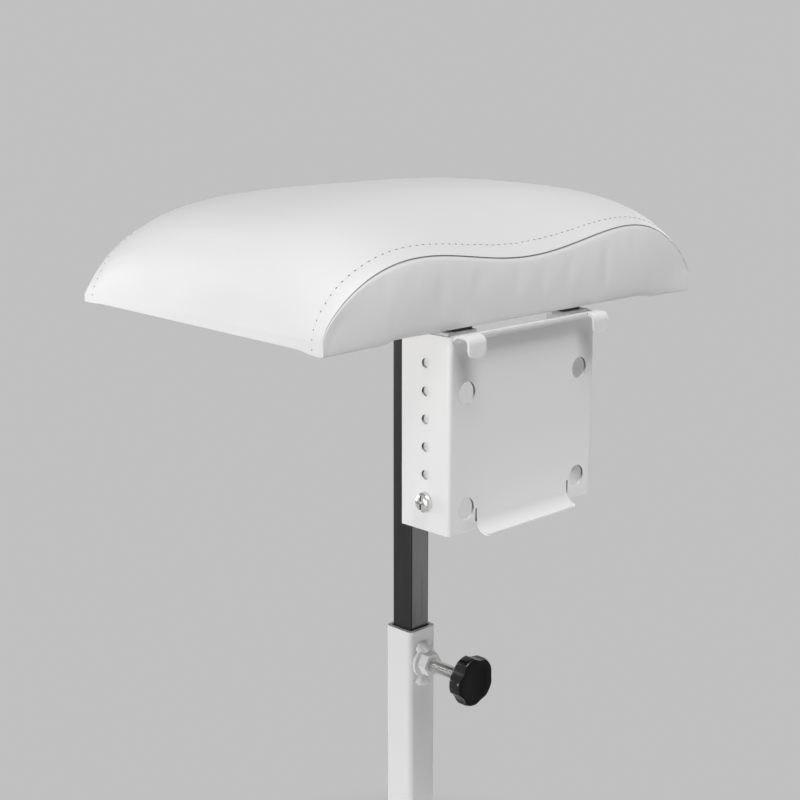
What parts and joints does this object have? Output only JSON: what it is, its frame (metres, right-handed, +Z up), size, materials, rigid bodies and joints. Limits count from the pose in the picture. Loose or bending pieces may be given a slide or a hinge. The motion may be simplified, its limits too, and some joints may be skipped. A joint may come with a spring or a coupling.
{
  "type": "pedicure footrest",
  "caption": "Height-adjustable pedicure footrest: a wavy padded leg cushion on a clamped square post, with a sheet-metal device bracket under its front edge.",
  "frame": {"origin": "on the floor, on the axis of the square post, which is the middle of the base plate", "axes": "+Z up, +X along the cushion's long side, -Y to the front, where the knob and the bracket are"},
  "size_m": [0.3906, 0.31, 0.6788],
  "materials": {
    "white_paint": "satin white powder coat",
    "black_paint": "satin black powder coat",
    "zinc": "bright zinc plate",
    "black_plastic": "moulded black",
    "black_rubber": "matt",
    "white_leather": "smooth white faux leather",
    "foam": "open-cell foam",
    "plywood": "raw plywood"
  },
  "bodies": {
    "base": {"base_plate": "white_paint", "foot_1": "black_rubber", "foot_2": "black_rubber", "foot_3": "black_rubber", "foot_4": "black_rubber", "foot_screw_1": "zinc", "foot_screw_2": "zinc", "foot_screw_3": "zinc", "foot_screw_4": "zinc", "outer_tube": "white_paint", "foot_weld": "white_paint", "clamp_washer": "white_paint", "clamp_nut": "white_paint", "nut_weld_upper": "white_paint", "nut_weld_lower": "white_paint"},
    "upper": {"inner_tube": "black_paint", "head_plate": "black_paint", "head_weld": "black_paint", "board": "plywood", "foam_core": "foam", "cover": "white_leather", "end_flap_left": "white_leather", "end_flap_right": "white_leather", "bracket": "white_paint", "hanger_left": "white_paint", "hanger_right": "white_paint", "hanger_screw_1": "zinc", "hanger_screw_2": "zinc", "hanger_screw_3": "zinc", "hanger_screw_4": "zinc", "plate_screw_1": "zinc", "plate_screw_2": "zinc", "side_screw_left": "zinc", "side_screw_right": "zinc", "side_nut_left": "zinc", "side_nut_right": "zinc"},
    "stud": {"clamp_stud": "zinc"},
    "knob": {"clamp_knob": "black_plastic"}
  },
  "joints": [
    {"name": "height_slide", "type": "slide", "parent": "base", "child": "upper", "axis": [0, 0, 1], "range_m": [-0.2, 0.03]},
    {"name": "stud_slide", "type": "slide", "parent": "base", "child": "stud", "axis": [0, -1, 0], "range_m": [0, 0.0046]},
    {"name": "knob_turn", "type": "hinge", "parent": "stud", "child": "knob", "pos_m": [0, -0.06, 0.2954], "axis": [0, -1, 0], "range_deg": [0, 1080]}
  ],
  "couplings": [
    {"joint": "stud_slide", "follows": "knob_turn", "m_per_rad": 0.00023873}
  ]
}
